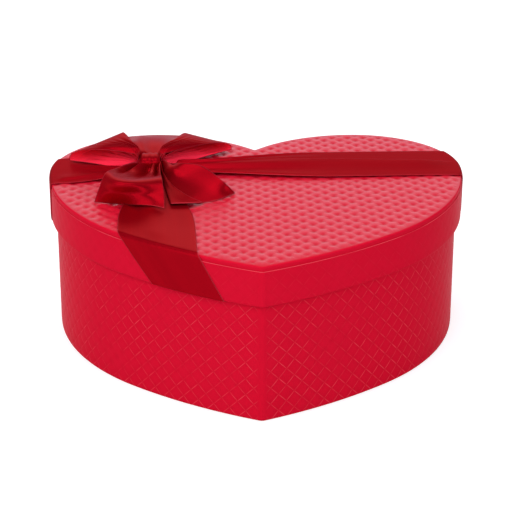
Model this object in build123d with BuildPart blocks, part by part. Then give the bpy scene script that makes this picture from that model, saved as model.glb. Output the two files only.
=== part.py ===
"""Heart-shaped gift box: greyboard covered with paper, lift-off lid, crossed ribbon and bow.

Millimetres, +Z up. The origin is on the table under the middle of the lid's outline, the heart's tip
points to -Y (the front) and its two lobes to +Y.
"""

import os
from math import cos, radians, sin, sqrt, tan

from build123d import *

os.makedirs("parts", exist_ok=True)

# Overall sizes of the closed box
LID_WIDTH = 230.0
LID_LENGTH = 200.0
BOX_HEIGHT = 87.0
RIM_DEPTH = 22.0

# Sheet stock, and the room left between glued layers and between the lid and the base
BOARD = 1.5
PAPER = 0.3
LINING = 0.2
RIBBON = 0.3
GLUE_LINE = 0.05
SLIDE_GAP = 0.35
BOARD_JOINT = 0.2

# Heart outline: rounded tip, sharp notch, and the points that its arcs join at
TIP_RADIUS = 3.5
SHOULDER_RADIUS = 58.0
NOTCH_DEPTH = 26.0
FLANK_X_SHARE = 0.596
FLANK_Y_SHARE = -0.579

# Paper margins and the lid's softened edge
TOP_EDGE_BEVEL = 1.2
TOP_MARGIN = 8.0
LID_TURN_IN = 12.0
BASE_TURN_IN = 12.0
FOOT_MARGIN = 10.0
FOOT_SHEET_INSET = 3.0

# Ribbon bands: where they cross, how they are drawn in under the bow and how far they spread out
RIBBON_WIDTH = 40.0
KNOT_AHEAD = 2.0
BAND_WAIST = 17.0
ACROSS_TURN_ANGLE = 2.2
LEFT_FAN_LENGTH = 48.0
RIGHT_FAN_LENGTH = 98.0
FRONT_FAN_LENGTH = 90.0
REAR_FAN_LENGTH = 50.0
FRONT_TURN_ANGLE = 2.4
RIBBON_TUCK = 10.0
CROSSING_LAP = 1.5

# Bow: the knot, and its loops and tails as fans that open out from the knot
KNOT_WIDTH = 12.0
KNOT_LENGTH = 13.0
KNOT_HEIGHT = 8.5
KNOT_ROLL_SHARE = 0.47
KNOT_BEVEL = 1.2
BOW_RIBBON = 0.4
BOW_GAP = 0.25
BOW_ROOT_LIFT = 3.0
BOW_ROOT_OPENING = 2.0
LOOP_CREST_LEAN_ANGLE = 14.0
LOOP_LEFT_ANGLE = 130.0
LOOP_LEFT_SPREAD_ANGLES = (37.5, 12.0)
LOOP_LEFT_REACH = 40.0
LOOP_LEFT_FOLD = 4.6
LOOP_RIGHT_ANGLE = 47.0
LOOP_RIGHT_SPREAD_ANGLES = (20.0, 20.0)
LOOP_RIGHT_REACH = 46.5
LOOP_RIGHT_FOLD = 3.2
TAIL_CREST_SHARE = 0.68
TAIL_LEFT_ANGLE = -100.0
TAIL_LEFT_SPREAD_ANGLES = (15.8, 15.8)
TAIL_LEFT_INNER_EDGE = 66.8
TAIL_LEFT_OUTER_EDGE = 64.1
TAIL_LEFT_CREST = 10.0
TAIL_LEFT_END = 2.0
TAIL_RIGHT_ANGLE = -63.0
TAIL_RIGHT_SPREAD_ANGLES = (17.0, 17.0)
TAIL_RIGHT_OUTER_EDGE = 61.2
TAIL_RIGHT_INNER_EDGE = 58.2
TAIL_RIGHT_CREST = 8.0
TAIL_RIGHT_END = 2.0

# One overrun serves every cut
OVERRUN = 5.0

# The lid's softened edge: the bevels of the layers lie a layer apart
BEVEL_STEP_SHARE = 2 - sqrt(2)
BOARD_EDGE_BEVEL = TOP_EDGE_BEVEL - PAPER * BEVEL_STEP_SHARE
RIM_PAPER_DROP = TOP_EDGE_BEVEL + PAPER
RIBBON_EDGE_BEVEL = RIM_PAPER_DROP + RIBBON * BEVEL_STEP_SHARE

# Layers of the lid from the outside in, as insets from the lid's outline
RIM_BOARD_OUT = 2 * PAPER
RIM_BOARD_IN = RIM_BOARD_OUT + BOARD
LID_INSIDE = RIM_BOARD_IN + PAPER
TUCK_OUT = LID_INSIDE + GLUE_LINE
TUCK_INSIDE = TUCK_OUT + RIBBON

# Layers of the base from the outside in
BASE_OUT = TUCK_INSIDE + SLIDE_GAP
WALL_BOARD_OUT = BASE_OUT + PAPER
WALL_BOARD_IN = WALL_BOARD_OUT + BOARD
BASE_INSIDE = WALL_BOARD_IN + PAPER

# Heights of the layers
FOOT_TOP = PAPER
BOARD_FOOT = FOOT_TOP + PAPER
FLOOR_TOP = BOARD_FOOT + BOARD
RIM_BOTTOM = BOX_HEIGHT - RIM_DEPTH
TOP_BOARD_TOP = BOX_HEIGHT - PAPER
TOP_BOARD_FOOT = TOP_BOARD_TOP - BOARD
MARGIN_FOOT = BOX_HEIGHT - TOP_MARGIN
BASE_TOP = TOP_BOARD_FOOT - LINING
BAND_TOP = BOX_HEIGHT + RIBBON
BOW_FOOT = BAND_TOP + RIBBON

# The half outline's arcs: crown at the rear, shoulder, flank and nose, each tangent to the next
HALF_WIDTH = LID_WIDTH / 2
HALF_LENGTH = LID_LENGTH / 2
CROWN_X = HALF_WIDTH - SHOULDER_RADIUS
SIDE_Y = HALF_LENGTH - SHOULDER_RADIUS
CROWN_RADIUS = (CROWN_X**2 + NOTCH_DEPTH**2) / (2 * NOTCH_DEPTH)
CROWN_CENTRE_Y = HALF_LENGTH - CROWN_RADIUS
SIDE = Vector(HALF_WIDTH, SIDE_Y)
FLANK = Vector(HALF_WIDTH * FLANK_X_SHARE, HALF_LENGTH * FLANK_Y_SHARE)
FLANK_RADIUS = (SIDE - FLANK).length ** 2 / (2 * (SIDE.X - FLANK.X))
FLANK_CENTRE = Vector(HALF_WIDTH - FLANK_RADIUS, SIDE_Y)
FLANK_NORMAL = (FLANK - FLANK_CENTRE).normalized()
TIP = Vector(0, -HALF_LENGTH)
NOSE_RADIUS = -(TIP - FLANK).length ** 2 / (2 * (TIP - FLANK).dot(FLANK_NORMAL))
NOSE_CENTRE = FLANK - FLANK_NORMAL * NOSE_RADIUS
NOTCH = Vector(0, HALF_LENGTH - NOTCH_DEPTH)
NOTCH_NORMAL = Vector(-CROWN_X, CROWN_RADIUS - NOTCH_DEPTH) / CROWN_RADIUS

# The bow sits on the left lobe, in line with its crown and just ahead of the lid's widest place
KNOT_X = -CROWN_X
KNOT_Y = SIDE_Y - KNOT_AHEAD


def tip_rounding(inset):
    """The tip's radius at an inset: the lid and the base are each rounded from their outside in."""
    outside = BASE_OUT if inset >= BASE_OUT else 0
    return TIP_RADIUS - (inset - outside)


def heart(inset):
    """The lid's outline in plan, drawn in by inset all round."""
    crown = (CROWN_X, HALF_LENGTH - inset)
    side = (HALF_WIDTH - inset, SIDE_Y)
    flank = FLANK - FLANK_NORMAL * inset
    notch = NOTCH - NOTCH_NORMAL * inset
    if inset < 0:
        notch = Vector(0, CROWN_CENTRE_Y + sqrt((CROWN_RADIUS - inset) ** 2 - CROWN_X**2))
    tip = (0, NOSE_CENTRE.Y - sqrt((NOSE_RADIUS - inset) ** 2 - NOSE_CENTRE.X**2))
    with BuildSketch() as outline:
        with BuildLine():
            TangentArc(crown, notch, tangent=(-1, 0))
            TangentArc(crown, side, tangent=(1, 0))
            flank_arc = TangentArc(side, flank, tangent=(0, -1))
            TangentArc(flank, tip, tangent=flank_arc % 1)
            if inset > 0:
                TangentArc(NOTCH - (0, inset), notch, tangent=(1, 0))
            mirror(about=Plane.YZ)
        make_face()
        if tip_rounding(inset) > 0:
            fillet(outline.vertices().sort_by_distance(tip)[0], tip_rounding(inset))
    return outline.sketch


def heart_plate(inset, low, high, bevel=0):
    """A plate with the heart's outline, its upper edge bevelled where a bevel is given."""
    with BuildPart() as plate:
        with BuildSketch(Plane.XY.offset(low)):
            add(heart(inset))
        extrude(amount=high - low)
        if bevel > 0:
            chamfer(plate.edges().group_by(Axis.Z)[-1], bevel)
    return plate.part


def heart_wall(outer, inner, low, high):
    """An upright wall that follows the heart between two insets."""
    with BuildPart() as wall:
        with BuildSketch(Plane.XY.offset(low)):
            add(heart(outer))
            add(heart(inner), mode=Mode.SUBTRACT)
        extrude(amount=high - low)
    return wall.part


def half_wall(outer, inner, low, high, side):
    """One bent strip of board: the wall on one side of the heart, short of the joint at its middle."""
    with BuildPart() as strip:
        add(heart_wall(outer, inner, low, high))
        if side == "right":
            split(bisect_by=Plane.YZ.offset(BOARD_JOINT / 2), keep=Keep.TOP)
        else:
            split(bisect_by=Plane.YZ.offset(-BOARD_JOINT / 2), keep=Keep.BOTTOM)
    return strip.part


def heading(angle):
    """The direction in plan at an angle from +X."""
    return Vector(cos(radians(angle)), sin(radians(angle)))


def knot_plane(angle, height):
    """A level plane at the knot whose X axis points along an angle in plan."""
    return Plane(origin=(KNOT_X, KNOT_Y, height), x_dir=heading(angle), z_dir=(0, 0, 1))


def band_plan(spread_back, spread_ahead, lap=0):
    """A ribbon band along X, drawn in at the knot and opened out to its full width on both sides."""
    edge = RIBBON_WIDTH / 2 + lap
    waist = BAND_WAIST / 2 + lap
    with BuildSketch() as plan:
        with BuildLine():
            upper = Polyline(
                (-LID_WIDTH, edge), (-spread_back, edge), (0, waist), (spread_ahead, edge), (LID_WIDTH, edge)
            )
            lower = mirror(about=Plane.XZ)
            Line(upper @ 0, lower @ 0)
            Line(upper @ 1, lower @ 1)
        make_face()
    return plan.sketch


def rim_slant(heading_ahead):
    """How a band folded over the front rim leans: its drift along the rim for each unit that it drops."""
    centre = Vector(-NOSE_CENTRE.X, NOSE_CENTRE.Y)
    rim_y = centre.Y - sqrt(NOSE_RADIUS**2 - (KNOT_X - centre.X) ** 2)
    normal = (Vector(KNOT_X, rim_y) - centre).normalized()
    along = Vector(-normal.Y, normal.X)
    return along * (heading_ahead.dot(along) / heading_ahead.dot(normal))


def bow_profile_plane(angle):
    """An upright plane through the knot: its X axis points out along the fan and its Y axis up."""
    out = heading(angle)
    return Plane(origin=(KNOT_X, KNOT_Y, BOW_FOOT + BOW_GAP), x_dir=out, z_dir=out.cross(Vector(0, 0, 1)))


def fan(angle, spreads, edges):
    """The plan of a bow piece, raised: it opens out from the knot to its left and right edges."""
    left, right = (tan(radians(spread)) for spread in spreads)
    with BuildPart() as wedge:
        with BuildSketch(knot_plane(angle, BOW_FOOT)):
            with BuildLine():
                Polyline((0, 0), (edges[0], edges[0] * left), (edges[1], -edges[1] * right), close=True)
            make_face()
        extrude(amount=BOX_HEIGHT)
        with BuildSketch(Plane.XY.offset(BOW_FOOT)):
            with Locations((KNOT_X, KNOT_Y)):
                Rectangle(KNOT_WIDTH + 2 * BOW_GAP, KNOT_LENGTH + 2 * BOW_GAP)
        extrude(amount=BOX_HEIGHT, mode=Mode.SUBTRACT)
    return wedge.part


def bow_loop(angle, spreads, reach, fold):
    """A loop of ribbon: lower ply, round fold at the far end and an arched upper ply back to the knot."""
    root_low = (0, BOW_ROOT_LIFT)
    root_high = (0, BOW_ROOT_LIFT + BOW_ROOT_OPENING)
    with BuildPart() as loop:
        with BuildSketch(bow_profile_plane(angle)):
            with BuildLine():
                turn = CenterArc((reach - fold, fold), fold, -90, 180 - LOOP_CREST_LEAN_ANGLE)
                TangentArc(turn @ 0, root_low, tangent=(-1, 0))
                TangentArc(turn @ 1, root_high, tangent=turn % 1)
                Line(root_low, root_high)
            make_face()
            offset(amount=-BOW_RIBBON, mode=Mode.SUBTRACT)
        extrude(amount=RIBBON_WIDTH, both=True)
        add(fan(angle, spreads, (2 * reach, 2 * reach)), mode=Mode.INTERSECT)
    return loop.part


def bow_tail(angle, spreads, edges, crest, end):
    """A cut end of ribbon: one arched ply from the knot, cut off at a slant between its two edges."""
    reach = max(edges)
    top = (reach * TAIL_CREST_SHARE, crest)
    with BuildPart() as tail:
        with BuildSketch(bow_profile_plane(angle)):
            with BuildLine():
                TangentArc(top, (0, BOW_ROOT_LIFT), tangent=(-1, 0))
                TangentArc(top, (reach, end), tangent=(1, 0))
            trace(line_width=BOW_RIBBON)
        extrude(amount=RIBBON_WIDTH, both=True)
        add(fan(angle, spreads, edges), mode=Mode.INTERSECT)
    return tail.part


def finish(builder, name):
    """Labels a finished piece and writes it."""
    builder.part.label = name
    export_step(builder.part, f"parts/{name}.step")


# Base, from the table up
with BuildPart() as base_foot_sheet:
    add(heart_plate(BASE_OUT + FOOT_SHEET_INSET, 0, FOOT_TOP))
finish(base_foot_sheet, "base_foot_sheet")

with BuildPart() as base_floor_board:
    add(heart_plate(WALL_BOARD_IN + GLUE_LINE, BOARD_FOOT, FLOOR_TOP))
finish(base_floor_board, "base_floor_board")

with BuildPart() as base_wall_board_left:
    add(half_wall(WALL_BOARD_OUT, WALL_BOARD_IN, BOARD_FOOT, BASE_TOP - PAPER, "left"))
finish(base_wall_board_left, "base_wall_board_left")

with BuildPart() as base_wall_board_right:
    add(half_wall(WALL_BOARD_OUT, WALL_BOARD_IN, BOARD_FOOT, BASE_TOP - PAPER, "right"))
finish(base_wall_board_right, "base_wall_board_right")

with BuildPart() as base_wall_wrap:
    add(heart_wall(BASE_OUT, WALL_BOARD_OUT - GLUE_LINE, FOOT_TOP, BASE_TOP))
    add(heart_wall(BASE_OUT, BASE_INSIDE, BASE_TOP - PAPER, BASE_TOP))
    add(heart_wall(WALL_BOARD_IN + GLUE_LINE, BASE_INSIDE, BASE_TOP - BASE_TURN_IN, BASE_TOP))
    add(heart_wall(BASE_OUT, BASE_OUT + FOOT_MARGIN, FOOT_TOP, BOARD_FOOT))
finish(base_wall_wrap, "base_wall_wrap")

with BuildPart() as base_floor_lining:
    add(heart_plate(BASE_INSIDE, FLOOR_TOP, FLOOR_TOP + LINING))
finish(base_floor_lining, "base_floor_lining")

with BuildPart() as base_wall_lining:
    add(heart_wall(WALL_BOARD_IN + GLUE_LINE, BASE_INSIDE, FLOOR_TOP + LINING, BASE_TOP - BASE_TURN_IN))
finish(base_wall_lining, "base_wall_lining")

# Lid, from the inside out
with BuildPart() as lid_lining:
    add(heart_plate(RIM_BOARD_IN + GLUE_LINE, BASE_TOP, TOP_BOARD_FOOT))
finish(lid_lining, "lid_lining")

with BuildPart() as lid_top_board:
    add(heart_plate(RIM_BOARD_OUT + GLUE_LINE, TOP_BOARD_FOOT, TOP_BOARD_TOP, BOARD_EDGE_BEVEL))
finish(lid_top_board, "lid_top_board")

with BuildPart() as lid_rim_board_left:
    add(half_wall(RIM_BOARD_OUT + GLUE_LINE, RIM_BOARD_IN, RIM_BOTTOM + PAPER, TOP_BOARD_FOOT, "left"))
finish(lid_rim_board_left, "lid_rim_board_left")

with BuildPart() as lid_rim_board_right:
    add(half_wall(RIM_BOARD_OUT + GLUE_LINE, RIM_BOARD_IN, RIM_BOTTOM + PAPER, TOP_BOARD_FOOT, "right"))
finish(lid_rim_board_right, "lid_rim_board_right")

with BuildPart() as lid_top_wrap:
    add(heart_plate(PAPER, MARGIN_FOOT, BOX_HEIGHT, TOP_EDGE_BEVEL))
    inside = heart_plate(RIM_BOARD_OUT, MARGIN_FOOT - OVERRUN, TOP_BOARD_TOP, BOARD_EDGE_BEVEL)
    add(inside, mode=Mode.SUBTRACT)
finish(lid_top_wrap, "lid_top_wrap")

with BuildPart() as lid_rim_wrap:
    add(heart_wall(0, RIM_BOARD_OUT, RIM_BOTTOM, MARGIN_FOOT))
    add(heart_wall(0, PAPER - GLUE_LINE, MARGIN_FOOT, BOX_HEIGHT - RIM_PAPER_DROP))
    add(heart_wall(0, LID_INSIDE, RIM_BOTTOM, RIM_BOTTOM + PAPER))
    add(heart_wall(RIM_BOARD_IN + GLUE_LINE, LID_INSIDE, RIM_BOTTOM, RIM_BOTTOM + LID_TURN_IN))
finish(lid_rim_wrap, "lid_rim_wrap")

# Ribbon bands: a layer over the lid's top and rim, turned in under the rim, cut to each band's plan
with BuildPart() as ribbon_layer:
    add(heart_plate(-GLUE_LINE - RIBBON, RIM_BOTTOM - RIBBON, BAND_TOP, RIBBON_EDGE_BEVEL))
    add(heart_plate(-GLUE_LINE, RIM_BOTTOM, BOX_HEIGHT, RIM_PAPER_DROP), mode=Mode.SUBTRACT)
    add(heart_plate(TUCK_INSIDE, RIM_BOTTOM - RIBBON, RIM_BOTTOM), mode=Mode.SUBTRACT)
    add(heart_wall(TUCK_OUT, TUCK_INSIDE, RIM_BOTTOM, RIM_BOTTOM + RIBBON_TUCK))

with BuildPart() as ribbon_across:
    with BuildSketch(knot_plane(ACROSS_TURN_ANGLE, RIM_BOTTOM - RIBBON)):
        add(band_plan(LEFT_FAN_LENGTH, RIGHT_FAN_LENGTH))
    extrude(amount=BAND_TOP - RIM_BOTTOM + RIBBON)
    add(ribbon_layer.part, mode=Mode.INTERSECT)
finish(ribbon_across, "ribbon_across")

AHEAD_ANGLE = FRONT_TURN_ANGLE - 90
slant = rim_slant(heading(AHEAD_ANGLE))
slant_down = Vector(slant.X, slant.Y, -1)

with BuildPart() as crossing_patch:
    with BuildSketch(knot_plane(AHEAD_ANGLE, BAND_TOP)):
        add(band_plan(REAR_FAN_LENGTH, FRONT_FAN_LENGTH))
    extrude(amount=RIBBON)
    with BuildSketch(knot_plane(ACROSS_TURN_ANGLE, BAND_TOP)):
        add(band_plan(LEFT_FAN_LENGTH, RIGHT_FAN_LENGTH, CROSSING_LAP))
    extrude(amount=RIBBON, mode=Mode.INTERSECT)

with BuildPart() as ribbon_front_back:
    with BuildSketch(knot_plane(AHEAD_ANGLE, BOX_HEIGHT)):
        add(band_plan(REAR_FAN_LENGTH, FRONT_FAN_LENGTH))
    extrude(amount=RIBBON)
    with BuildSketch(knot_plane(AHEAD_ANGLE, BOX_HEIGHT)):
        add(band_plan(REAR_FAN_LENGTH, FRONT_FAN_LENGTH))
        split(bisect_by=Plane.YZ, keep=Keep.BOTTOM)
    extrude(amount=-RIM_DEPTH - RIBBON)
    with BuildSketch(knot_plane(AHEAD_ANGLE, BOX_HEIGHT)):
        add(band_plan(REAR_FAN_LENGTH, FRONT_FAN_LENGTH))
        split(bisect_by=Plane.YZ, keep=Keep.TOP)
    extrude(amount=(RIM_DEPTH + RIBBON) * slant_down.length, dir=slant_down)
    add(ribbon_layer.part, mode=Mode.INTERSECT)
    add(ribbon_across.part, mode=Mode.SUBTRACT)
    add(crossing_patch.part)
finish(ribbon_front_back, "ribbon_front_back")

# Bow, glued down over the crossing
with BuildPart() as bow_knot:
    with BuildSketch(Plane(origin=(KNOT_X, KNOT_Y, BOW_FOOT), x_dir=(0, 1, 0), z_dir=(1, 0, 0))):
        with Locations((0, KNOT_HEIGHT / 2)):
            RectangleRounded(KNOT_LENGTH, KNOT_HEIGHT, KNOT_HEIGHT * KNOT_ROLL_SHARE)
    extrude(amount=KNOT_WIDTH / 2, both=True)
    chamfer(bow_knot.faces().filter_by(Axis.X).edges(), KNOT_BEVEL)
finish(bow_knot, "bow_knot")

with BuildPart() as bow_loop_left:
    add(bow_loop(LOOP_LEFT_ANGLE, LOOP_LEFT_SPREAD_ANGLES, LOOP_LEFT_REACH, LOOP_LEFT_FOLD))
finish(bow_loop_left, "bow_loop_left")

with BuildPart() as bow_loop_right:
    add(bow_loop(LOOP_RIGHT_ANGLE, LOOP_RIGHT_SPREAD_ANGLES, LOOP_RIGHT_REACH, LOOP_RIGHT_FOLD))
finish(bow_loop_right, "bow_loop_right")

with BuildPart() as bow_tail_left:
    edges = (TAIL_LEFT_INNER_EDGE, TAIL_LEFT_OUTER_EDGE)
    add(bow_tail(TAIL_LEFT_ANGLE, TAIL_LEFT_SPREAD_ANGLES, edges, TAIL_LEFT_CREST, TAIL_LEFT_END))
finish(bow_tail_left, "bow_tail_left")

with BuildPart() as bow_tail_right:
    edges = (TAIL_RIGHT_OUTER_EDGE, TAIL_RIGHT_INNER_EDGE)
    add(bow_tail(TAIL_RIGHT_ANGLE, TAIL_RIGHT_SPREAD_ANGLES, edges, TAIL_RIGHT_CREST, TAIL_RIGHT_END))
finish(bow_tail_right, "bow_tail_right")
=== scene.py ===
"""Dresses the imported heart-shaped gift box: embossed papers, boards, linings, satin ribbon, bow and stage.

Metres, +Z up, in the frame's own axes: the heart's tip points to -Y and its two lobes to +Y.
"""

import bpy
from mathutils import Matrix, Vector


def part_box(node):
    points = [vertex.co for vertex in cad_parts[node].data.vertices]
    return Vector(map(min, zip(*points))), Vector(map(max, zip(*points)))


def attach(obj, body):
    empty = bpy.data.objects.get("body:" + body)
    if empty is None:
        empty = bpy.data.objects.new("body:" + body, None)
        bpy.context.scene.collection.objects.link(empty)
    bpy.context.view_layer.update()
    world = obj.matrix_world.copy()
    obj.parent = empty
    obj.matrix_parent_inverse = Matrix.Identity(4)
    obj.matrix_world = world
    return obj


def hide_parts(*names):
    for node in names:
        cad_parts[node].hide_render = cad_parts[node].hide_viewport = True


bl_info = {
    "name": "Heart Gift Box",
    "version": (1, 0, 0),
    "blender": (4, 5, 0),
    "location": "View3D > Sidebar > Heart Box",
    "description": "Builds the papers, ribbons and bow of a heart-shaped gift box round its packed frame",
    "category": "Add Mesh",
}

from math import acos, atan2, cos, exp, floor, pi, radians, sin, sqrt

import bmesh
import bpy
from bpy.props import FloatProperty, FloatVectorProperty, PointerProperty
from mathutils import Matrix, Vector, kdtree

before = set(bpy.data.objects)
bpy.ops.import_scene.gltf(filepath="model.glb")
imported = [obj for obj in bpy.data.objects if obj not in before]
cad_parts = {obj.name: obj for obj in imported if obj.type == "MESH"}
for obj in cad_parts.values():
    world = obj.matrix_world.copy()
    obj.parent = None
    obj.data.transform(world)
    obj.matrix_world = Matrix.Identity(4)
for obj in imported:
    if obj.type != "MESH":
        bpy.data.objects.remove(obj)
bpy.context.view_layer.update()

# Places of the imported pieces
RIM_LOW, RIM_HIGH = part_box("lid_rim_wrap")
TOP_LOW, TOP_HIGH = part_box("lid_top_wrap")
BASE_LOW, BASE_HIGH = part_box("base_wall_wrap")
_, RIM_BOARD_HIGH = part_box("lid_rim_board_right")
KNOT_LOW, KNOT_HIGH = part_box("bow_knot")

HALF_WIDTH = RIM_HIGH.x
HALF_LENGTH = RIM_HIGH.y
LID_TOP = TOP_HIGH.z
RIM_BOTTOM = RIM_LOW.z
PAPER = HALF_WIDTH - TOP_HIGH.x
BOARD = 0.0015
GLUE_LINE = 0.00005
RIM_INSIDE = HALF_WIDTH - RIM_BOARD_HIGH.x + BOARD + PAPER
BASE_INSET = HALF_WIDTH - BASE_HIGH.x
BASE_TOP = BASE_HIGH.z
BASE_FOOT = BASE_LOW.z
KNOT = (KNOT_LOW + KNOT_HIGH) / 2
MM = 0.001


# Settings that a user would change


def plain_setting(name, description, default):
    """A plain number, such as a share or a level."""
    return FloatProperty(name=name, description=description, default=default)


def size_setting(name, description, default):
    """A length in metres."""
    return FloatProperty(name=name, description=description, default=default, unit="LENGTH")


def turn_setting(name, description, default):
    """An angle in radians."""
    return FloatProperty(name=name, description=description, default=default, unit="ROTATION")


def power_setting(name, description, default):
    """A lamp's power in watts."""
    return FloatProperty(name=name, description=description, default=default, subtype="POWER")


def vector_setting(name, description, default, subtype="COLOR"):
    """A colour, or else a place or a direction."""
    return FloatVectorProperty(name=name, description=description, default=default, size=3, subtype=subtype)


class HeartShape(bpy.types.PropertyGroup):
    """The arcs of the lid's outline in plan, and the papers' margins."""

    shoulder_radius: size_setting("Shoulder radius", "Radius of each lobe's outer shoulder", 0.058)
    notch_depth: size_setting("Notch depth", "Depth of the notch below the lobes' crowns", 0.026)
    flank_x_share: plain_setting("Flank X", "Where the flank meets the nose, over the half width", 0.596)
    flank_y_share: plain_setting("Flank Y", "Where the flank meets the nose, over the half length", -0.579)
    tip_radius: size_setting("Tip radius", "Radius of the rounded tip", 0.0035)
    edge_radius: size_setting("Edge radius", "Radius of the lid's rounded upper edge", 0.0012)
    rim_paper_drop: size_setting("Rim paper drop", "How far the rim paper starts below the lid's top", 0.0029)
    lid_turn_in: size_setting("Lid turn-in", "How far the rim paper goes up inside the lid", 0.012)
    base_turn_in: size_setting("Base turn-in", "How far the wall paper goes down inside the base", 0.012)
    foot_margin: size_setting("Foot margin", "Width of the wall paper under the floor", 0.010)


class PaperEmboss(bpy.types.PropertyGroup):
    """The woven emboss of the red paper, its painted pit shade, crown light and edge highlights, and the
    papers' colours.
    """

    strip_width: size_setting("Strip width", "Width of one woven strip of the emboss", 0.00645)
    top_relief: size_setting("Top relief", "Height of the emboss on the lid's top", 0.00075)
    top_sunk: size_setting("Top sunk", "Depth of the top emboss's pits below the plain paper", 0.00025)
    rim_relief: size_setting("Rim relief", "Height of the emboss on the lid's rim", 0.00010)
    base_relief: size_setting("Base relief", "Height of the emboss on the base's wall", 0.00016)
    red: vector_setting("Red", "Colour of the red paper", (0.62, 0.004, 0.023))
    # Painted shade: the paper's red darkened in the emboss's pits
    groove_red: vector_setting("Pit red", "Colour in the emboss's pits", (0.46, 0.002, 0.014))
    # Painted light: the paper's red lightened on the emboss's crowns
    ridge_red: vector_setting("Ridge red", "Colour on the emboss's crowns", (0.66, 0.007, 0.031))
    # Painted highlight: a paler red along the edges of the emboss's strips
    line_red: vector_setting("Line red", "Colour of the rubbed edges", (0.82, 0.085, 0.115))
    lining: vector_setting("Lining", "Colour of the lining paper", (0.80, 0.76, 0.69))
    board: vector_setting("Board", "Colour of the greyboard", (0.33, 0.30, 0.26))


class RibbonCut(bpy.types.PropertyGroup):
    """The satin ribbon: its stock, how the bands lie and its colours."""

    width: size_setting("Width", "Width of the ribbon", 0.040)
    thickness: size_setting("Thickness", "Thickness of the ribbon", 0.0003)
    waist: size_setting("Waist", "Width of a band where it is gathered under the bow", 0.017)
    across_turn: turn_setting("Across turn", "Turn of the band across from +X", radians(2.2))
    front_turn: turn_setting("Front turn", "Turn of the front band from -Y", radians(2.4))
    left_fan: size_setting("Left fan", "Distance over which the left band opens out", 0.048)
    right_fan: size_setting("Right fan", "Distance over which the right band opens out", 0.098)
    front_fan: size_setting("Front fan", "Distance over which the front band opens out", 0.090)
    rear_fan: size_setting("Rear fan", "Distance over which the rear band opens out", 0.050)
    tuck: size_setting("Tuck", "How far a band goes up inside the rim", 0.010)
    red: vector_setting("Satin red", "Colour of the satin", (0.315, 0.0015, 0.007))
    # Painted glow: a far paler red on the loops' inner side, standing in for light coming through the satin
    inside_red: vector_setting("Inside red", "Colour inside the loops, lit through", (0.97, 0.028, 0.070))
    edge_red: vector_setting("Edge red", "Colour of the woven edges", (0.44, 0.022, 0.036))
    sheen: vector_setting("Satin sheen", "Tint of the satin's sheen", (0.85, 0.25, 0.32))


class StudioStage(bpy.types.PropertyGroup):
    """The camera, the lamps and the floor."""

    camera_place: vector_setting(
        "Camera place", "Where the camera stands", (-0.02125, -0.89767, 0.42658), "TRANSLATION"
    )
    camera_aim: vector_setting(
        "Camera aim", "Direction in which the camera looks", (0.0215, 0.9222, -0.3858), "DIRECTION"
    )
    lens: plain_setting("Lens", "Focal length in millimetres", 125.0)
    shift_x: plain_setting("Shift", "Sideways shift of the camera's frame", -0.0022)
    key_power: power_setting("Key power", "Power of the front lamp", 25.0)
    side_power: power_setting("Side power", "Power of the right lamp", 9.0)
    top_power: power_setting("Top power", "Power of the top lamp", 12.0)
    back_power: power_setting("Back power", "Power of the low back panel", 3.5)
    room: vector_setting("Room", "Colour of the room's light", (0.80, 0.80, 1.0))
    front_level: plain_setting("Front level", "Brightness of the room behind the camera", 0.25)
    back_level: plain_setting("Back level", "Brightness of the room behind the box", 0.90)
    floor: vector_setting("Floor", "Colour of the floor", (0.62, 0.62, 0.62))


SETTINGS = {
    "heart_shape": HeartShape,
    "paper_emboss": PaperEmboss,
    "ribbon_cut": RibbonCut,
    "studio_stage": StudioStage,
}


# Heart outline


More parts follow.
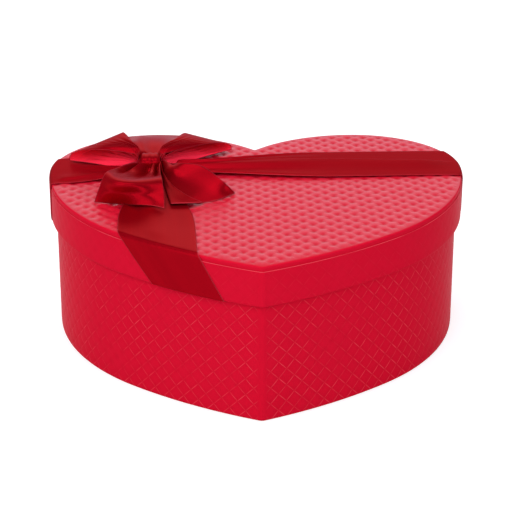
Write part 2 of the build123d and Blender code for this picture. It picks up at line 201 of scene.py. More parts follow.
class Outline:
    """The heart in plan as tangent arcs, run clockwise from the notch, at any inset from the lid's side."""

    SAMPLES = 3000

    def __init__(self, shape, outside):
        self.shape = shape
        self.outside = outside
        self.known = {}
        self.notch = Vector((0, HALF_LENGTH - shape.notch_depth))
        self.notch_angle = self.arcs(0)[0][2]
        lengths = [radius * (first - last) for _, radius, first, last in self.arcs(outside)]
        self.length = 2 * sum(lengths)
        self.breaks = [0.0]
        for length in lengths:
            self.breaks.append(self.breaks[-1] + 2 * length / self.length)
        self.tree = kdtree.KDTree(self.SAMPLES + 1)
        for sample in range(self.SAMPLES + 1):
            place, _ = self.at(sample / self.SAMPLES / 2, outside)
            self.tree.insert(place.to_3d(), sample)
        self.tree.balance()

    def arcs(self, inset):
        """Centre, radius, first and last angle of the right half's arcs, from the crown to the tip."""
        if inset in self.known:
            return self.known[inset]
        shape = self.shape
        crown_x = HALF_WIDTH - shape.shoulder_radius
        side_y = HALF_LENGTH - shape.shoulder_radius
        crown_radius = (crown_x**2 + shape.notch_depth**2) / (2 * shape.notch_depth)
        side = Vector((HALF_WIDTH, side_y))
        flank_end = Vector((HALF_WIDTH * shape.flank_x_share, HALF_LENGTH * shape.flank_y_share))
        flank_radius = (side - flank_end).length_squared / (2 * (side.x - flank_end.x))
        flank = Vector((HALF_WIDTH - flank_radius, side_y))
        turn = (flank_end - flank).normalized()
        to_tip = Vector((0, -HALF_LENGTH)) - flank_end
        nose_radius = -to_tip.length_squared / (2 * to_tip.dot(turn))
        nose = flank_end - turn * nose_radius
        flank_angle = atan2(turn.y, turn.x)
        tip_radius = max(shape.tip_radius - (inset - self.outside), 0)
        tip_y = nose.y - sqrt((nose_radius - inset - tip_radius) ** 2 - nose.x**2)
        nose_angle = atan2(tip_y - nose.y, -nose.x)
        notch_angle = pi - acos(crown_x / (crown_radius - inset))
        self.known[inset] = [
            (Vector((crown_x, HALF_LENGTH - crown_radius)), crown_radius - inset, notch_angle, pi / 2),
            (Vector((crown_x, side_y)), shape.shoulder_radius - inset, pi / 2, 0),
            (flank, flank_radius - inset, 0, flank_angle),
            (nose, nose_radius - inset, flank_angle, nose_angle),
            (Vector((0, tip_y)), tip_radius, nose_angle, -pi / 2),
        ]
        return self.known[inset]

    def at(self, along, inset):
        """The place and the outward normal at a share of the way round; an inset is rounded at the notch."""
        along = along % 1
        side, half = (1, 2 * along) if along <= 1 / 2 else (-1, 2 - 2 * along)
        arc = 0
        while arc < len(self.breaks) - 2 and half > self.breaks[arc + 1]:
            arc += 1
        centre, radius, first, last = self.arcs(inset)[arc]
        share = (half - self.breaks[arc]) / (self.breaks[arc + 1] - self.breaks[arc])
        angle = first + (last - first) * share
        normal = Vector((cos(angle), sin(angle)))
        place = centre + normal * radius
        if arc == 0 and angle > self.notch_angle:
            normal = (self.notch - place).normalized()
            place = self.notch - normal * inset
        return Vector((side * place.x, place.y)), Vector((side * normal.x, normal.y))

    def locate(self, place):
        """The share of the way round of a place, and its inset, found on the right half and mirrored."""
        right = Vector((abs(place.x), place.y))
        _, sample, _ = self.tree.find(right.to_3d())
        along = sample / self.SAMPLES / 2
        near, normal = self.at(along, self.outside)
        offset = right - near
        drift = offset.x * normal.y - offset.y * normal.x
        along = min(max(along + drift / self.length, 0), 1 / 2)
        return along if place.x >= 0 else 1 - along, self.outside - offset.dot(normal)


# Mesh helpers

# Distances at which places count as the same, and as on a cut
TOUCH = 1e-6
CUT = 1e-7


def smooth(share):
    """Eases a share from 0 to 1."""
    share = min(max(share, 0), 1)
    return share * share * (3 - 2 * share)


def mix(a, b, share):
    """The value or vector at a share of the way from a to b."""
    return a + (b - a) * share


def finish_piece(context, name, bm, material, body, nodes):
    """Turns a bmesh into a named object that rides a body and stands for its nodes."""
    mesh = bpy.data.meshes.new(name)
    bm.to_mesh(mesh)
    bm.free()
    mesh.shade_smooth()
    mesh.materials.append(material)
    piece = bpy.data.objects.new(name, mesh)
    context.scene.collection.objects.link(piece)
    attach(piece, body)
    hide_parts(*nodes)
    return piece


def cut_plane(bm, place, normal, clear=False):
    """Cuts the whole mesh along a plane, and clears what lies ahead of it if asked."""
    whole = bm.verts[:] + bm.edges[:] + bm.faces[:]
    bmesh.ops.bisect_plane(bm, geom=whole, dist=CUT, plane_co=place, plane_no=normal, clear_outer=clear)


def extrude_rings(bm, edges, outline, along, rings):
    """Draws a loop of edges through plain rings of (inset, height) round the outline, to the last loop."""
    raised, highlit = bm.verts.layers.float["relief"], bm.verts.layers.float["edge"]
    for inset, height in rings:
        drawn = bmesh.ops.extrude_edge_only(bm, edges=edges)["geom"]
        verts = {item for item in drawn if isinstance(item, bmesh.types.BMVert)}
        for vert in verts:
            place, _ = outline.at(vert[along], inset)
            vert.co = (place.x, place.y, height)
            vert[raised], vert[highlit] = 1 / 2, 0
        edges = [
            item for item in drawn if isinstance(item, bmesh.types.BMEdge) and verts.issuperset(item.verts)
        ]
    return edges


def turned_edge(inset, inside, edge, way, depth):
    """Rings of paper turned over a wall's edge and in by a depth, then back along the board to its start."""
    turned = inside - PAPER + GLUE_LINE
    return [
        (inset + PAPER / 3, edge + way * PAPER / 3),
        (inset + PAPER, edge),
        (inside - PAPER, edge),
        (inside - PAPER / 3, edge + way * PAPER / 3),
        (inside, edge + way * PAPER),
        (inside, edge + way * depth),
        (turned, edge + way * depth),
        (turned, edge + way * PAPER),
        (inset + PAPER - GLUE_LINE, edge + way * PAPER),
    ]


def level_edges(bm, height):
    """The open edges that lie at a height."""
    return [
        edge
        for edge in bm.edges
        if edge.is_boundary and all(abs(vert.co.z - height) < TOUCH for vert in edge.verts)
    ]


# Woven emboss

# Grid lines of one strip, closer together at the strip's edges, where the emboss steps
STOP_SHARES = (0.0, 0.045, 0.16, 0.36, 0.64, 0.84, 0.955)
ARCH_POWER = 0.8
ARCH_SHARE = 0.15
CROWN_SHARE = 0.12
PIT_POWER = 1.6
# Strength of the painted edge highlight on every other dash
DASH_SHARE = 0.6
TIP_SHARE = 0.5
# The emboss rises from a wall's edge, and from the lid's, over a strip's width divided by these
EDGE_RISE, TOP_RISE = 4, 3
# Places at the seam closer than this share of the relief are joined
SEAM_SHARE = 0.25
HAIR = 1e-4


def strip_rise(a, b):
    """Height of the upper strip at a place in strip widths: it arches up out from under its neighbours."""
    column, row = floor(a), floor(b)
    x, y = a - column, b - row
    ahead, across = (x, y) if (column + row) % 2 == 0 else (y, x)
    return max(sin(pi * ahead), 0) ** ARCH_POWER * (1 - CROWN_SHARE * (2 * across - 1) ** 2)


def weave(a, b):
    """Height of the plain weave, 0 to 1: the upper strip where two meet, with a pit at each corner."""
    arch = max(strip_rise(a + da, b + db) for da in (-HAIR, HAIR) for db in (-HAIR, HAIR))
    pit = abs(cos(pi * a) * cos(pi * b)) ** PIT_POWER
    return ARCH_SHARE * arch + (1 - ARCH_SHARE) * (1 - pit)


def edge_line(a, b):
    """How much painted highlight lies at a place, 0 to 1: short dashes along the strips' edges, where the
    steps catch the light.
    """
    glint = 0
    for beside, ahead in ((a, b), (b, a)):
        on_edge = max(1 - abs(beside - round(beside)) / STOP_SHARES[1], 0)
        dash = 1 if (round(beside) + floor(ahead)) % 2 == 0 else DASH_SHARE
        glint = max(glint, on_edge * sqrt(abs(sin(pi * ahead))) * dash)
    return glint


def strip_lattice(first, count, strip):
    """A grid of strips turned by 45 degrees in the XY plane, with its lines at the strips' stops."""
    stops = len(STOP_SHARES)
    lines = count * stops
    bm = bmesh.new()
    bmesh.ops.create_grid(bm, x_segments=lines, y_segments=lines, size=lines / 2)
    for vert in bm.verts:
        x, y = round(vert.co.x + lines / 2), round(vert.co.y + lines / 2)
        vert.co.x = first[0] + x // stops + STOP_SHARES[x % stops]
        vert.co.y = first[1] + y // stops + STOP_SHARES[y % stops]
    bmesh.ops.scale(bm, vec=(strip, strip, 1), verts=bm.verts)
    bmesh.ops.rotate(bm, cent=(0, 0, 0), matrix=Matrix.Rotation(pi / 4, 3, "Z"), verts=bm.verts)
    return bm


def weave_at(x, y, strip):
    """The weave's height and its painted edge highlights at a place of the turned lattice."""
    diagonal = strip * sqrt(2)
    a, b = (y + x) / diagonal, (y - x) / diagonal
    return weave(a, b), edge_line(a, b)


def weave_layers(bm):
    """The attributes of embossed paper: the share of the way round, the emboss's height and the painted
    highlights on the strips' edges.
    """
    return [bm.verts.layers.float.new(name) for name in ("along", "relief", "edge")]


def woven_wall(outline, low, high, inset, relief, strip):
    """A band of embossed paper round the outline, cut flat from the lattice and bent, seamed at the notch."""
    diagonals = round(outline.length / (strip * sqrt(2)))
    strip = outline.length / (diagonals * sqrt(2))
    diagonal = strip * sqrt(2)
    rows = int(high / diagonal) + 2
    bm = strip_lattice((0, -diagonals), diagonals + rows, strip)
    outside = [
        vert
        for vert in bm.verts
        if not (-strip < vert.co.x < outline.length + strip and low - strip < vert.co.y < high + strip)
    ]
    bmesh.ops.delete(bm, geom=outside, context="VERTS")
    cut_plane(bm, (0, 0, 0), (-1, 0, 0), clear=True)
    cut_plane(bm, (outline.length, 0, 0), (1, 0, 0), clear=True)
    cut_plane(bm, (0, low, 0), (0, -1, 0), clear=True)
    cut_plane(bm, (0, high, 0), (0, 1, 0), clear=True)
    along, raised, highlit = weave_layers(bm)
    seam = []
    for vert in bm.verts:
        x, z = vert.co.x, vert.co.y
        height, glint = weave_at(x, z, strip)
        height *= smooth((z - low) / strip * EDGE_RISE) * smooth((high - z) / strip * EDGE_RISE)
        stretched = smooth(abs(x - outline.length / 2) / strip * 2 - TIP_SHARE)
        vert[along] = x / outline.length
        vert[raised] = mix(1 / 2, height, stretched)
        vert[highlit] = glint * stretched
        place, normal = outline.at(vert[along], inset)
        place += normal * relief * height
        vert.co = (place.x, place.y, z)
        if x < HAIR * strip or x > outline.length - HAIR * strip:
            seam.append(vert)
    bmesh.ops.remove_doubles(bm, verts=seam, dist=relief * SEAM_SHARE)
    return bm, along


class HEARTBOX_OT_lid_top_paper(bpy.types.Operator):
    """Covers the lid's top with woven-embossed paper, rounded over the edge and turned down the rim"""

    bl_idname = "heart_box.lid_top_paper"
    bl_label = "Lid Top Paper"

    ROUNDING_STEPS = 5

    def execute(self, context):
        shape, emboss = context.scene.heart_shape, context.scene.paper_emboss
        strip = emboss.strip_width
        outline = Outline(shape, 0)
        flat_inset = PAPER + shape.edge_radius
        count = 2 * int((HALF_WIDTH + HALF_LENGTH) / (sqrt(2) * strip)) + 2
        bm = strip_lattice((-count / 2, -count / 2), count, strip)
        along, raised, highlit = weave_layers(bm)
        depth = {}
        for vert in bm.verts:
            vert[along], inset = outline.locate(vert.co.xy)
            depth[vert] = inset - flat_inset
        outside = [vert for vert in bm.verts if depth[vert] < 0]
        bmesh.ops.delete(bm, geom=outside, context="VERTS")
        while ears := [face for face in bm.faces if sum(edge.is_boundary for edge in face.edges) > 2]:
            bmesh.ops.delete(bm, geom=ears, context="FACES")
        for vert in bm.verts:
            height, glint = weave_at(vert.co.x, vert.co.y, strip)
            shown = smooth(depth[vert] / (strip / TOP_RISE))
            vert[raised] = height * shown
            vert[highlit] = glint * shown
            vert.co.z = LID_TOP + (emboss.top_relief * height - emboss.top_sunk) * shown
        snapped = [vert for vert in bm.verts if vert.is_boundary]
        for vert in snapped:
            place, _ = outline.at(vert[along], flat_inset)
            vert.co = (place.x, place.y, LID_TOP)
            vert[raised] = 1 / 2
            vert[highlit] = 0
        bmesh.ops.remove_doubles(bm, verts=snapped, dist=TOUCH)
        rim = [edge for edge in bm.edges if edge.is_boundary]
        radius = shape.edge_radius
        rounding = []
        for step in range(1, self.ROUNDING_STEPS + 1):
            turn = pi / 2 * step / self.ROUNDING_STEPS
            rounding.append((flat_inset - radius * sin(turn), LID_TOP - radius * (1 - cos(turn))))
        inner = PAPER * 2 - GLUE_LINE
        underside = LID_TOP - PAPER
        back = [(inner, TOP_LOW.z), (inner, LID_TOP - radius), (flat_inset, underside)]
        last = extrude_rings(bm, rim, outline, along, rounding + [(PAPER, TOP_LOW.z)] + back)
        bmesh.ops.edgeloop_fill(bm, edges=last)
        bmesh.ops.recalc_face_normals(bm, faces=bm.faces)
        for face in bm.faces:
            face.material_index = 1 if face.calc_center_median().z < underside else 0
        paper = red_paper("Red paper, lid top", gloss_level=0.20, pit_shade_share=0.9, highlight_share=0.2)
        piece = finish_piece(context, "lid_top_paper", bm, paper, "lid", ["lid_top_wrap"])
        edge_paper = red_paper("Red paper, lid edge", gloss_level=0.006, pit_shade_share=0.25, highlight_share=0.2)
        piece.data.materials.append(edge_paper)
        return {"FINISHED"}


class HEARTBOX_OT_lid_rim_paper(bpy.types.Operator):
    """Wraps the lid's rim with embossed paper, turned in round its bottom edge"""

    bl_idname = "heart_box.lid_rim_paper"
    bl_label = "Lid Rim Paper"

    # Strength of the painted highlight, a bright line along the rim paper's top edge
    TOP_EDGE_WEAR = 9.0

    def execute(self, context):
        shape, emboss = context.scene.heart_shape, context.scene.paper_emboss
        outline = Outline(shape, 0)
        low, high = RIM_BOTTOM + PAPER, LID_TOP - shape.rim_paper_drop
        bm, along = woven_wall(outline, low, high, 0, emboss.rim_relief, emboss.strip_width)
        cut_plane(bm, (0, 0, high - PAPER), (0, 0, 1))
        bottom, top = level_edges(bm, low), level_edges(bm, high)
        highlit = bm.verts.layers.float["edge"]
        # Painted highlight: a bright line along the rim paper's top edge, and no edge highlight just below it
        for vert in bm.verts:
            if vert.co.z > high - PAPER * 3 / 2:
                vert[highlit] = self.TOP_EDGE_WEAR if vert.co.z > high - PAPER / 2 else 0
        turn_in = turned_edge(0, RIM_INSIDE, RIM_BOTTOM, 1, shape.lid_turn_in)
        inside = extrude_rings(bm, bottom, outline, along, turn_in)
        edge = extrude_rings(bm, top, outline, along, [(PAPER - GLUE_LINE, high)])
        bmesh.ops.bridge_loops(bm, edges=inside + edge)
        bmesh.ops.recalc_face_normals(bm, faces=bm.faces)
        paper = red_paper("Red paper, rim", gloss_level=0.006, pit_shade_share=0.2, highlight_share=0.12)
        finish_piece(context, "lid_rim_paper", bm, paper, "lid", ["lid_rim_wrap"])
        return {"FINISHED"}


class HEARTBOX_OT_base_wall_paper(bpy.types.Operator):
    """Wraps the base's wall with embossed paper, turned in over its rim and under its floor"""

    bl_idname = "heart_box.base_wall_paper"
    bl_label = "Base Wall Paper"

    def execute(self, context):
        shape, emboss = context.scene.heart_shape, context.scene.paper_emboss
        outline = Outline(shape, BASE_INSET)
        inset = BASE_INSET
        low, high = BASE_FOOT + PAPER, BASE_TOP - PAPER
        bm, along = woven_wall(outline, low, high, inset, emboss.base_relief, emboss.strip_width)
        bottom, top = level_edges(bm, low), level_edges(bm, high)
        over_rim = turned_edge(inset, inset + 2 * PAPER + BOARD, BASE_TOP, -1, shape.base_turn_in)
        under_floor = [
            (inset + PAPER / 3, BASE_FOOT + PAPER / 3),
            (inset + PAPER, BASE_FOOT),
            (inset + shape.foot_margin, BASE_FOOT),
            (inset + shape.foot_margin, BASE_FOOT + PAPER),
            (inset + PAPER - GLUE_LINE, BASE_FOOT + PAPER),
        ]
        upper = extrude_rings(bm, top, outline, along, over_rim)
        lower = extrude_rings(bm, bottom, outline, along, under_floor)
        bmesh.ops.bridge_loops(bm, edges=upper + lower)
        bmesh.ops.recalc_face_normals(bm, faces=bm.faces)
        paper = red_paper("Red paper, base", gloss_level=0.006, pit_shade_share=0.25, highlight_share=0.65)
        finish_piece(context, "base_wall_paper", bm, paper, "base", ["base_wall_wrap"])
        return {"FINISHED"}


# Satin ribbon

LUSTRE = 0.58
# Lustre of the satin with the painted glow on the loops' inner side
GLOW_LUSTRE = 0.05


def ribbon_sheet(context, node, rows, columns, place, flat, glowing_inside=False):
    """A node's ribbon from a flat grid: place gives where each share of its length and width goes."""
    cut = context.scene.ribbon_cut
    bm = bmesh.new()
    bm.loops.layers.uv.new("UVMap")
    bmesh.ops.create_grid(bm, x_segments=rows, y_segments=columns, size=1 / 2, calc_uvs=True)
    for vert in bm.verts:
        vert.co = place(vert.co.x + 1 / 2, vert.co.y + 1 / 2)
    face = satin("Red satin", cut.red, LUSTRE)
    piece = finish_piece(context, f"satin_{node}", bm, face, "lid", [node])
    wall = piece.modifiers.new("Ribbon thickness", "SOLIDIFY")
    wall.thickness = cut.thickness
    wall.offset = 0
    # Painted glow: the loops' other side gets the far paler red satin that stands in for light coming through
    if glowing_inside:
        piece.data.materials.append(satin("Red satin, lit through", cut.inside_red, GLOW_LUSTRE))
        wall.material_offset = 1
    return piece


class Band:
    """A ribbon laid over the lid through the knot, folded over the rim at both ends and tucked in there."""

    # Rows of the grid on each stretch of half a band
    TOP, EDGE, SKIRT, FOOT, TUCK = 60, 7, 14, 8, 4
    EDGE_RADIUS = 0.0022
    FOOT_RADIUS = 0.0006
    CLEAR = 0.00035
    ABOVE = 0.0007
    # Distances from the knot over which a band steps down off the one below it and its folds rise
    STEP_FROM, STEP_OVER = 0.010, 0.014
    RISE_OVER = 0.016
    # A long fold dies out over the last part of the way to the rim, 1 over this
    FOLD_FADE = 8
    HALVINGS = 40

    def __init__(self, outline, cut, heading, fans, pleats, folds, slack, step):
        self.outline = outline
        self.cut = cut
        self.heading = Vector((cos(heading), sin(heading)))
        self.beside = Vector((-sin(heading), cos(heading)))
        self.fans = fans
        self.pleats = pleats
        self.folds = folds
        self.slack = slack
        self.step = step
        self.half_rows = self.TOP + self.EDGE + self.SKIRT + self.FOOT + self.TUCK
        self.rows = 2 * self.half_rows
        self.fibres = {}

    def width_at(self, end, reach):
        """Half the band's width at a distance from the knot."""
        return mix(self.cut.waist, self.cut.width, smooth(reach / self.fans[end])) / 2

    def fibre(self, end, across):
        """Where one lengthwise fibre meets the rim: share of the way round, drift, reach and offset."""
        key = (end, across)
        if key not in self.fibres:
            ahead = self.heading * (1 if end else -1)
            start = KNOT.xy + self.beside * across * self.cut.width / 2
            near, far = 0.0, 2 * HALF_WIDTH
            for _ in range(self.HALVINGS):
                reach = (near + far) / 2
                along, inset = self.outline.locate(start + ahead * reach)
                near, far = (reach, far) if inset > -self.CLEAR else (near, reach)
            _, normal = self.outline.at(along, 0)
            drift = (ahead.x * normal.y - ahead.y * normal.x) / ahead.dot(normal) / self.outline.length
            edge, _ = self.outline.at(along - drift * self.EDGE_RADIUS, self.EDGE_RADIUS - self.CLEAR)
            self.fibres[key] = along, drift, (edge - KNOT.xy).dot(ahead), (edge - KNOT.xy).dot(self.beside)
        return self.fibres[key]

    def length(self):
        """Length of the cut ribbon, along its middle."""
        fold = LID_TOP - RIM_BOTTOM + RIM_INSIDE + self.cut.tuck
        return sum(self.fibre(end, 0.0)[2] + fold for end in (0, 1))

    def place(self, length_share, width_share):
        """Where a share of the band's length and width goes."""
        row = length_share * self.rows - self.half_rows
        end, row = (1, row) if row >= 0 else (0, -row)
        across = round(2 * width_share - 1, 4)
        along, drift, reach, offset = self.fibre(end, across)
        if row <= self.TOP:
            return self.on_top(end, across, reach * row / self.TOP, reach, offset)
        row -= self.TOP
        radius, clear = self.EDGE_RADIUS, self.CLEAR
        if row <= self.EDGE:
            turn = pi / 2 * row / self.EDGE
            ahead = radius * (2 * row / self.EDGE - 1)
            height = LID_TOP + self.ABOVE - radius * (1 - cos(turn))
            return self.on_rim(along + drift * ahead, radius * (1 - sin(turn)) - clear, height)
        row -= self.EDGE
        low, small = RIM_BOTTOM + self.FOOT_RADIUS, self.FOOT_RADIUS
        high = LID_TOP + self.ABOVE - radius
        if row <= self.SKIRT:
            drop = (high - low) * row / self.SKIRT
            return self.on_rim(along + drift * (radius + drop), -clear, high - drop)
        row -= self.SKIRT
        gone = radius + high - low
        tucked = RIM_INSIDE + clear / 2
        if row <= self.FOOT:
            share = row / self.FOOT
            turn = pi * share
            inset = mix(-clear, tucked, (1 - cos(turn)) / 2)
            height = low - (small + clear) * sin(turn) ** (1 / 2)
            return self.on_rim(along + drift * (gone + tucked * share), inset, height)
        row -= self.FOOT
        rise = self.cut.tuck * row / self.TUCK
        return self.on_rim(along + drift * (gone + tucked + rise), tucked, low + rise)

    def on_rim(self, along, inset, height):
        """A place at a share of the way round the lid."""
        place, _ = self.outline.at(along, inset)
        return Vector((place.x, place.y, height))

    def on_top(self, end, across, reached, reach, offset):
        """A place on the lid's top, with the pleats that run out from the knot and one long fold."""
        ahead = self.heading * (1 if end else -1)
        half = self.width_at(end, reached)
        share = reached / reach
        sideways = mix(across * half, offset, smooth(share * 2 - 1))
        fullness = sqrt(max((self.cut.width / (2 * half)) ** 2 - 1, 0))
        count, depth, sway = self.pleats[end]
        pleat = depth * half / count * fullness * (1 - smooth(share * 2 - 1))
        wave = (1 - gather_wave((across + 1) / 2, count, sway)) / 2
        near, far, height, high_side, low_side = self.folds[end]
        aside = across - mix(near, far, smooth(share))
        flank = high_side if aside > 0 else low_side
        fade = 1 - smooth(share * self.FOLD_FADE - (self.FOLD_FADE - 1))
        fold = height * exp(-((aside / flank) ** 2)) * fade
        lift = self.ABOVE + self.step * (1 - smooth((reached - self.STEP_FROM) / self.STEP_OVER))
        place = KNOT.xy + ahead * reached + self.beside * sideways
        slack = self.slack[end] * sin(pi * share)
        raised = (pleat * wave + fold + slack) * smooth(reached / self.RISE_OVER)
        return Vector((place.x, place.y, LID_TOP + lift + raised))


class HEARTBOX_OT_ribbon_bands(bpy.types.Operator):
    """Lays the two satin ribbons over the lid, gathered under the bow and folded over the rim"""

    bl_idname = "heart_box.ribbon_bands"
    bl_label = "Ribbon Bands"

    COLUMNS = 48
    # Each long fold: where it lies across the band at the knot and at the rim, its height and its two flanks
    LEFT_FOLD = (-0.3, -0.72, 0.0010, 0.30, 0.12)
    RIGHT_FOLD = (0.55, 0.02, 0.0018, 0.07, 0.55)
    REAR_FOLD = (-0.42, -0.36, 0.0009, 0.20, 0.12)
    FRONT_FOLD = (-0.10, -0.05, 0.0004, 0.30, 0.30)
    # The pleats of each end of a band at the knot: how many, how deep and their sway
    ACROSS_PLEATS = ((3, 0.26, 0.0), (3, 0.26, 1.0))
    FRONT_PLEATS = ((2, 0.26, 0.0), (2, 0.12, 4.1))
    # How far each end of a band stands off the lid half-way out
    ACROSS_SLACK = (0.0006, 0.0007)
    FRONT_SLACK = (0.0036, 0.0003)

    def execute(self, context):
        cut = context.scene.ribbon_cut
        outline = Outline(context.scene.heart_shape, 0)
        under = Band(
            outline, cut, cut.across_turn, (cut.left_fan, cut.right_fan), self.ACROSS_PLEATS,
            (self.LEFT_FOLD, self.RIGHT_FOLD), self.ACROSS_SLACK, 0,
        )
        over = Band(
            outline, cut, cut.front_turn - pi / 2, (cut.rear_fan, cut.front_fan), self.FRONT_PLEATS,
            (self.REAR_FOLD, self.FRONT_FOLD), self.FRONT_SLACK, 2 * cut.thickness,
        )
        for way, band in (("across", under), ("front_back", over)):
            ribbon_sheet(
                context, f"ribbon_{way}", band.rows, self.COLUMNS, band.place,
                (cut.width, band.length()),
            )
        return {"FINISHED"}


UNEVEN_SHARE = 0.16
# Gathers grow out of the knot over the first part of a loop or tail, 1 over this
LOOP_GROWTH, TAIL_GROWTH = 8, 10


def above_lid(x, y, height):
    """A place over the lid's top, from millimetres."""
    return Vector((x * MM, y * MM, LID_TOP + height * MM))


def spline(points, share):
    """A place on the smooth curve through evenly spaced points."""
    last = len(points) - 1
    first = min(int(share * last), last - 1)
    u = share * last - first
    near, far = points[first], points[first + 1]
    before = points[first - 1] if first else 2 * near - far
    after = points[first + 2] if first + 2 <= last else 2 * far - near
    return near + u / 2 * (
        far - before + u * (2 * before - 5 * near + 4 * far - after + u * (3 * (near - far) + after - before))
    )


def gather_wave(width_share, count, sway):
    """Uneven gathers side by side across a ribbon, from -1 to 1."""
    return cos(2 * pi * (count * width_share + UNEVEN_SHARE * sin(2 * pi * width_share + sway)) + sway)


def gather_depth(cut, width, count):
    """Half the depth of gathers that take up the ribbon's full width in a narrower one."""
    return sqrt(max(cut.width**2 - width**2, 0)) / (4 * count)


def cut_length(place):
    """Length of the cut ribbon, measured along its middle."""
    steps = 200
    middle = [place(step / steps, 1 / 2) for step in range(steps + 1)]
    return sum((after - before).length for before, after in zip(middle, middle[1:]))


class BowLoop:
    """One loop of the bow: out from the knot over the upper ply, round the fold and back under."""

    FULLNESS = 0.6
    ROOT_RISE = 0.0025
    GATHERS = 6
    GATHERS_FROM = 0.20
    GATHERS_FADE = 0.70
    UPPER_SHARE, LOWER_SHARE = 0.75, 1.2
    SWAY = pi
    SWIRL = 2.2
    LOWER_LIFT = 0.6

    def __init__(self, cut, roots, fold, upper, lower):
        self.cut = cut
        self.roots = roots
        self.fold = fold
        self.upper = upper
        self.lower = lower

    def place(self, length_share, width_share):
        """Where a share of the loop's length and width goes, with the satin's face outside."""
        turn = 2 * pi * length_share
        out = (1 - cos(turn)) / 2
        near, far = (mix(root, fold, out) for root, fold in zip(self.roots, self.fold))
        swell = abs(sin(turn)) ** self.FULLNESS
        plies = self.upper if turn < pi else self.lower
        opening = mix(*plies, width_share) * swell * (1 if turn < pi else -1)
        opening += self.ROOT_RISE * cos(turn / 2) * (1 - out)
        under = smooth(turn / pi - 1 / 2)
        depth = mix(self.UPPER_SHARE, self.LOWER_SHARE, under)
        depth *= gather_depth(self.cut, (far - near).length, self.GATHERS) * smooth(out * LOOP_GROWTH)
        depth *= 1 - smooth((out - self.GATHERS_FROM) / self.GATHERS_FADE)
        wave = gather_wave(width_share, self.GATHERS, self.SWAY + self.SWIRL * out * under)
        gather = depth * (wave + self.LOWER_LIFT * under)
        return mix(near, far, width_share) + Vector((0, 0, opening + gather))


class BowTail:
    """One cut end of the bow, drawn over lengthwise guides from one edge to the other."""

    GATHERS = 3
    GATHERS_FROM = 0.10
    GATHERS_FADE = 0.34

    def __init__(self, cut, guides, gathered, sway):
        self.cut = cut
        self.guides = [[above_lid(*place) for place in guide] for guide in guides]
        self.gathered = gathered
        self.sway = sway

    def place(self, length_share, width_share):
        """Where a share of the tail's length and width goes."""
        row = [spline(guide, length_share) for guide in self.guides]
        depth = self.gathered * gather_depth(self.cut, (row[-1] - row[0]).length, self.GATHERS)
        gather = depth * gather_wave(width_share, self.GATHERS, self.sway)
        gather *= smooth(length_share * TAIL_GROWTH)
        gather *= 1 - smooth((length_share - self.GATHERS_FROM) / self.GATHERS_FADE)
        return spline(row, width_share) + Vector((0, 0, gather))


class HEARTBOX_OT_bow_loops(bpy.types.Operator):
    """Ties the bow's two loops"""

    bl_idname = "heart_box.bow_loops"
    bl_label = "Bow Loops"

    ROWS, COLUMNS = 80, 60
    # Each loop's two roots and the two corners of its fold, in millimetres over the lid
    LEFT_ROOTS = ((-64.5, 45.5, 5.5), (-65.5, 36.5, 4.6))
    LEFT_FOLD = ((-76, 76, 9.3), (-105, 51, 2.4))
    RIGHT_ROOTS = ((-53.5, 37.5, 4.6), (-54.5, 45.5, 5.5))
    RIGHT_FOLD = ((-13.5, 66.1, 2.8), (-39.8, 86.8, 4.8))
    # How far the upper and the lower ply swell, at both edges
    LEFT_UPPER, LEFT_LOWER = (0.0026, 0.0072), (0.0018, 0.0004)
    RIGHT_UPPER, RIGHT_LOWER = (0.0062, 0.0028), (0.0004, 0.0014)

    def execute(self, context):
        cut = context.scene.ribbon_cut
        loops = {
            "left": (self.LEFT_ROOTS, self.LEFT_FOLD, self.LEFT_UPPER, self.LEFT_LOWER),
            "right": (self.RIGHT_ROOTS, self.RIGHT_FOLD, self.RIGHT_UPPER, self.RIGHT_LOWER),
        }
        for side, (roots, fold, upper, lower) in loops.items():
            roots, fold = ([above_lid(*place) for place in places] for places in (roots, fold))
            loop = BowLoop(cut, roots, fold, upper, lower)
            ribbon_sheet(
                context, f"bow_loop_{side}", self.ROWS, self.COLUMNS, loop.place,
                (cut.width, cut_length(loop.place)), glowing_inside=True,
            )
        return {"FINISHED"}


